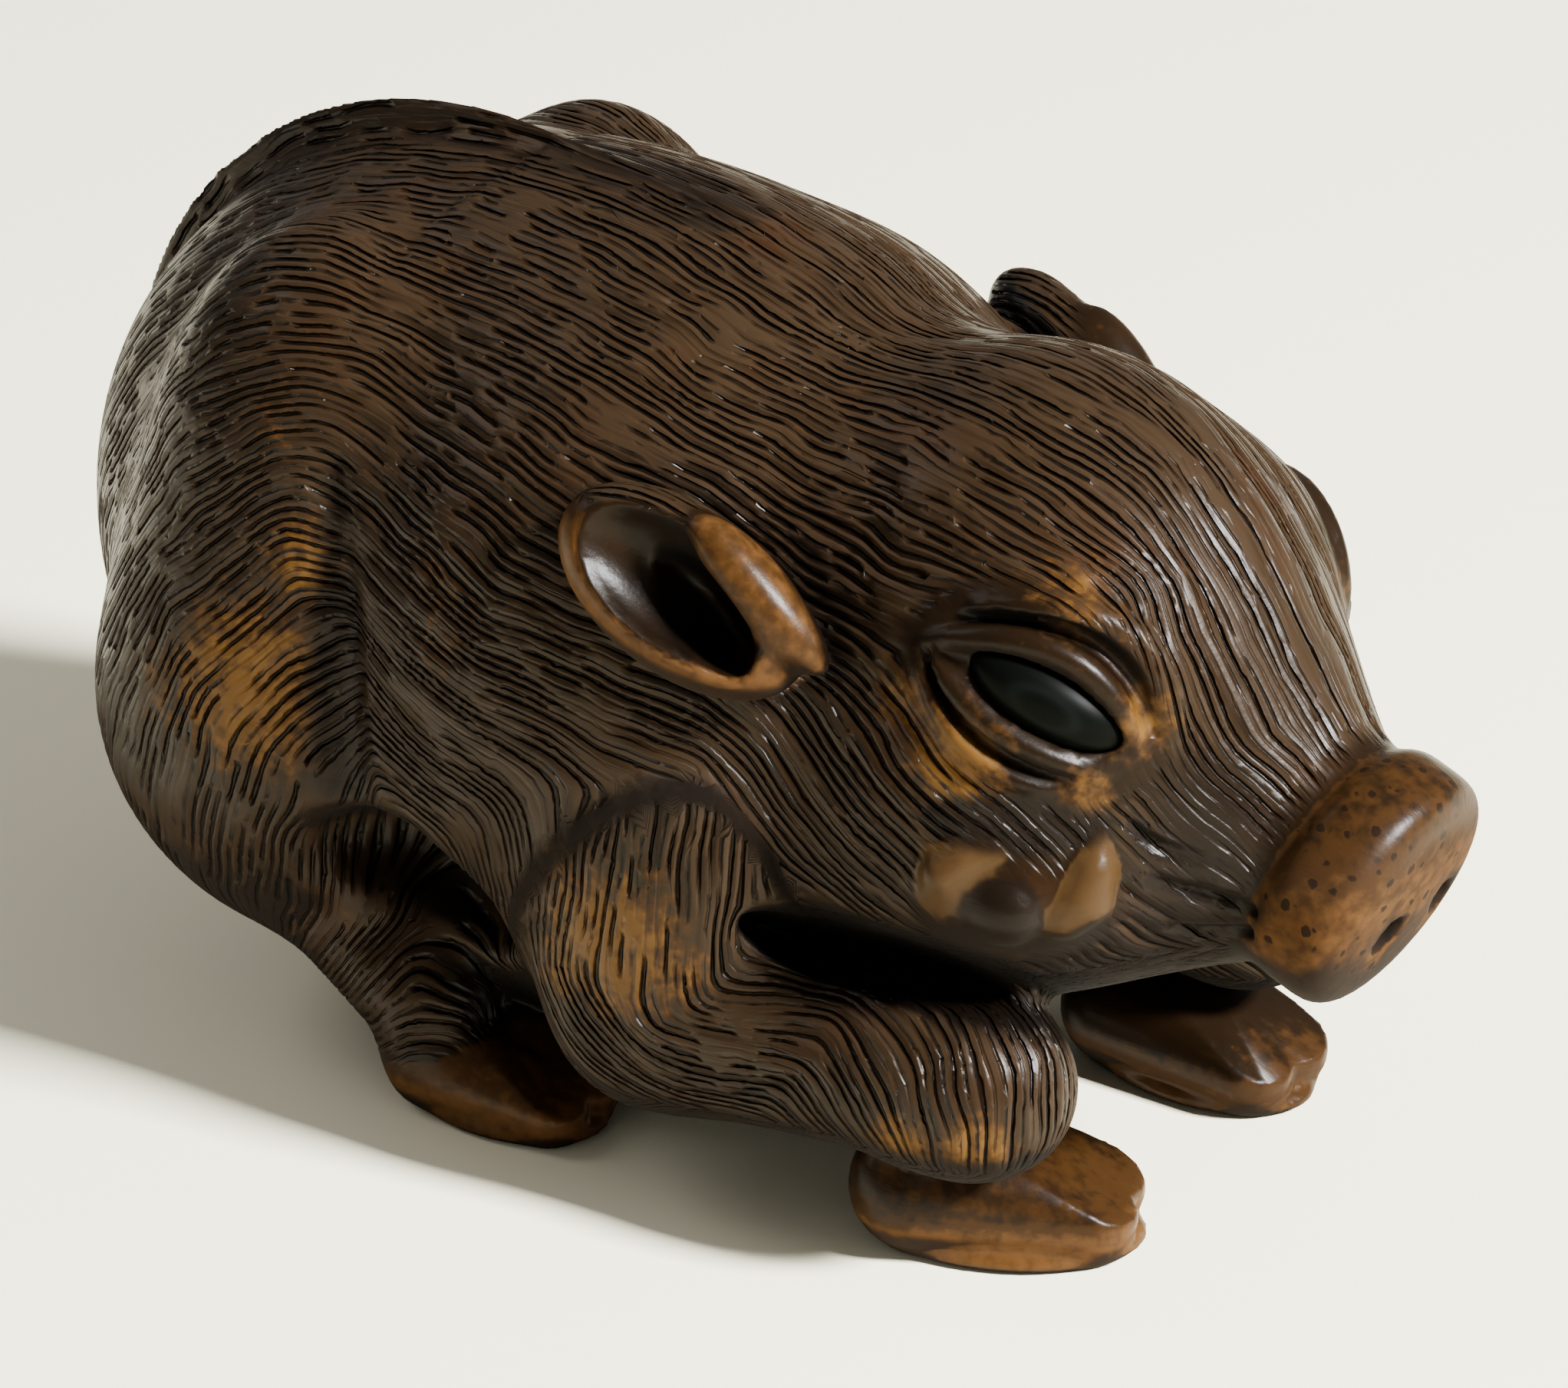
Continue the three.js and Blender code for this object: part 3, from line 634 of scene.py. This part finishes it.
pores = put(tree, "ShaderNodeTexVoronoi", {"Vector": where, "Scale": 1 / (PORE_SPACING * MM)})["Distance"]
turn = put(tree, "ShaderNodeMath", {0: has["hairs"], 1: 2 * np.pi}, operation="MULTIPLY")[0]
cut = put(tree, "ShaderNodeMath", {0: turn}, operation="COSINE")[0]
spread = put(tree, "ShaderNodeSeparateXYZ", {"Vector": where})
on_hair = put(tree, "ShaderNodeCombineXYZ", {"X": has["hairs"], "Y": spread["X"], "Z": spread["Z"]})[0]
tone_scale = (TONE_PER_HAIR, 1 / (TONE_LENGTH * MM), 1 / (TONE_LENGTH * MM))
on_hair = put(tree, "ShaderNodeMapping", {"Vector": on_hair, "Scale": tone_scale})[0]
tone = put(tree, "ShaderNodeTexNoise", {"Vector": on_hair, "Scale": 1.0, "Detail": 2})[0]
cut = put(tree, "ShaderNodeMath", {0: tone, 1: TONE_IN_CUT, 2: cut}, operation="MULTIPLY_ADD")[0]
furrow = put(tree, "ShaderNodeMapRange", {"Value": cut, "From Min": 0.6, "From Max": 1.6})["Result"]
for limit in ("coat", "firm"):
    furrow = put(tree, "ShaderNodeMath", {0: furrow, 1: has[limit]}, operation="MULTIPLY")[0]
tone = put(tree, "ShaderNodeMath", {0: tone, 1: has["coat"]}, operation="MULTIPLY")[0]
on_ridge = put(tree, "ShaderNodeMath", {0: furrow, 1: CUT_IN_HAIR, 2: tone}, operation="MULTIPLY_ADD")[0]
uneven = put(tree, "ShaderNodeMath", {0: speck, 1: -0.5}, operation="ADD")[0]
rubbed = put(tree, "ShaderNodeMath", {0: uneven, 1: SPECK_IN_WEAR, 2: has["worn"]},
             operation="MULTIPLY_ADD")[0]
rubbed = put(tree, "ShaderNodeMath", {0: furrow, 1: CUT_IN_WEAR, 2: rubbed}, operation="MULTIPLY_ADD")[0]
scraped = put(tree, "ShaderNodeMath", {0: uneven, 1: SPECK_IN_BARE, 2: has["bare"]},
              operation="MULTIPLY_ADD")[0]
streaked = put(tree, "ShaderNodeMath", {0: uneven, 1: SPECK_IN_BARE, 2: has["horn"]},
               operation="MULTIPLY_ADD")[0]
pits = put(tree, "ShaderNodeMath", {0: speck, 1: SPECK_IN_PORE, 2: pores}, operation="MULTIPLY_ADD")[0]
pits = put(tree, "ShaderNodeMath", {0: has["snout"], 1: pits}, operation="SUBTRACT")[0]

# The layers over the base stain: what tells each one, where it begins and is full, its share and its colour.
LAYERS = {
    "brown on the hairs": (on_ridge, 0.1, 0.6, 0.9, "#241a10"),
    "warm blotches": (blotch, 0.5, 0.8, 0.35, "#2a1507"),
    "stain rubbed thin": (rubbed, 0.2, 0.7, 0.85, "#33200c"),
    "stain rubbed off": (rubbed, 0.5, 1.0, 0.9, "#4c3415"),
    "bare wood": (scraped, 0.35, 0.7, 0.95, "#271707"),
    "polished bare wood": (scraped, 0.75, 1.2, 0.9, "#442c14"),
    "pores": (pits, 1.2, 1.3, 0.85, "#0c0603"),
    "tusk and rim of the lip": (streaked, 0.2, 0.8, 0.95, "#322312"),
    # stain mixed with painted shade in the nostrils, on the undersides and in the haunch's fold
    "dark stain and painted shade": (has["stain_and_shade"], 0.2, 0.8, 0.9, "#0d0805"),
    "stain in the cuts": (furrow, 0.3, 0.9, 0.65, "#040302"),
    # painted shade: near black where the form shelters the surface
    "painted shade in the hollows": (has["shade"], 0.3, 0.9, 0.95, "#050302"),
}
STAIN, THIN_STAIN = "#090502", "#180e05"
paint = put(tree, "ShaderNodeMix", {0: blotch, 6: colour(STAIN), 7: colour(THIN_STAIN)}, data_type="RGBA")[2]
for told_by, none, full, most, code in LAYERS.values():
    limits = {"From Min": none, "From Max": full, "To Max": most}
    share = put(tree, "ShaderNodeMapRange", {"Value": told_by, **limits}, interpolation_type="SMOOTHSTEP")[0]
    paint = put(tree, "ShaderNodeMix", {0: share, 6: paint, 7: colour(code)}, data_type="RGBA")[2]
tree.links.new(paint, shader["Base Color"])
rough = put(tree, "ShaderNodeMapRange", {"Value": has["dull"], "To Min": POLISHED, "To Max": DULL})["Result"]
tree.links.new(rough, shader["Roughness"])
shader["IOR"].default_value = 1.5
shader["Specular IOR Level"].default_value = 0.08
grained = put(tree, "ShaderNodeBump", {"Strength": 0.4, "Distance": GRAIN_DEPTH * MM, "Height": grain})[0]
furrowed = put(tree, "ShaderNodeBump", {"Strength": 1.0, "Distance": FURROW_DEPTH * MM, "Height": furrow,
                                        "Normal": grained}, invert=True)[0]
tree.links.new(furrowed, shader["Normal"])
final.materials.clear()
final.materials.append(wood)
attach(carving, "root")
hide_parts("boar")

# The eyes: two eggs of dark horn, turned and polished, set tight between the lids. Polished horn is nearly
# black, faintly green, with a soft gloss; a slightly paler ring shows round the pupil.
EYE_ROWS, EYE_RINGS = 64, 40
PUPIL_EDGE, RING_WIDTH = 24, 6
HORN_BLACK, HORN_RING = "#030403", "#070908"
horn, tree, shader = material("polished_horn")
ring = put(tree, "ShaderNodeAttribute", {}, attribute_name="ring")["Fac"]
iris = put(tree, "ShaderNodeMix", {0: ring, 6: colour(HORN_BLACK), 7: colour(HORN_RING)},
           data_type="RGBA")[2]
tree.links.new(iris, shader["Base Color"])
shader["Roughness"].default_value = 0.4
shader["IOR"].default_value = 1.54
shader["Specular IOR Level"].default_value = 0.02
for name, side in (("eye_right", -1), ("eye_left", 1)):
    low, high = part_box(name)
    ball = bmesh.new()
    bmesh.ops.create_uvsphere(ball, u_segments=EYE_ROWS, v_segments=EYE_RINGS, radius=1)
    eye_mesh = bpy.data.meshes.new(name + "_inlay")
    ball.to_mesh(eye_mesh)
    ball.free()
    unit = read(eye_mesh.vertices, "co", 3)[:, [0, 2, 1]] * [1, -1, 1]
    shaped = (unit * EYE_RADII) @ turned(EYE_TURNS).T * [1, -side, 1] * MM + np.array((low + high) / 2)
    eye_mesh.vertices.foreach_set("co", shaped.astype(np.float32).ravel())
    if side > 0:
        eye_mesh.flip_normals()
    from_pupil = np.degrees(np.arccos(np.clip(-unit[:, 1], -1, 1)))
    tell(eye_mesh, "ring", np.exp(-((from_pupil - PUPIL_EDGE) / RING_WIDTH) ** 2))
    eye_mesh.polygons.foreach_set("use_smooth", np.ones(len(eye_mesh.polygons), bool))
    eye_mesh.update()
    eye_mesh.materials.append(horn)
    eye = bpy.data.objects.new(name + "_inlay", eye_mesh)
    bpy.context.scene.collection.objects.link(eye)
    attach(eye, "root")
    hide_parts(name)

# The stage: a sheet of matt white card, lit by a small bright lamp from the boar's front and by the weak
# light of a window behind its right side. Each light has its azimuth, elevation, distance, size and power.
FLOOR_HALF = 1.2
MIDDLE = np.array((shift, 0, 11.8)) * MM
LIGHTS = {"lamp": (98, 38, 0.5, 0.07, 20.0), "window": (-71, 45, 0.7, 0.3, 1.1)}
FILL_COLOUR, FILL_STRENGTH = "#f4f3ee", 0.4
card, tree, shader = material("white_card")
shader["Base Color"].default_value = colour("#f4edd1")
shader["Roughness"].default_value = 0.7
floor_mesh = bpy.data.meshes.new("card")
corners = [(x * FLOOR_HALF, y * FLOOR_HALF, 0) for x, y in ((-1, -1), (1, -1), (1, 1), (-1, 1))]
floor_mesh.from_pydata(corners, [], [(0, 1, 2, 3)])
floor_mesh.materials.append(card)
floor = bpy.data.objects.new("card", floor_mesh)
bpy.context.scene.collection.objects.link(floor)

world = bpy.data.worlds.new("studio")
bpy.context.scene.world = world
world.use_nodes = True
world.node_tree.nodes["Background"].inputs["Color"].default_value = colour(FILL_COLOUR)
world.node_tree.nodes["Background"].inputs["Strength"].default_value = FILL_STRENGTH


def aim(thing, azimuth, elevation, distance):
    """Puts a lamp or camera round the boar, looking at its middle, level with the floor."""
    a, e = np.radians((azimuth, elevation))
    back = np.array([np.sin(a) * np.cos(e), -np.cos(a) * np.cos(e), np.sin(e)])
    right = np.array([np.cos(a), np.sin(a), 0])
    axes = Matrix(np.stack([right, np.cross(back, right), back], 1).tolist())
    thing.matrix_world = Matrix.Translation((MIDDLE + distance * back).tolist()) @ axes.to_4x4()


for name, (azimuth, elevation, distance, size, watts) in LIGHTS.items():
    light = bpy.data.lights.new(name, "AREA")
    light.size = size
    light.energy = watts
    lamp = bpy.data.objects.new(name, light)
    bpy.context.scene.collection.objects.link(lamp)
    aim(lamp, azimuth, elevation, distance)

# The camera stands as far off as the picture's perspective shows, a little above the boar's right shoulder.
PICTURE_WIDTH, FOCAL_PIXELS, SENSOR = 2044, 7984, 36
VIEW_AZIMUTH, VIEW_ELEVATION, VIEW_DISTANCE = 37, 26, 0.177
camera = bpy.data.cameras.new("camera")
camera.sensor_width = SENSOR
camera.lens = FOCAL_PIXELS / PICTURE_WIDTH * SENSOR
camera.clip_start = 0.01
viewer = bpy.data.objects.new("camera", camera)
bpy.context.scene.collection.objects.link(viewer)
aim(viewer, VIEW_AZIMUTH, VIEW_ELEVATION, VIEW_DISTANCE)
bpy.context.scene.camera = viewer
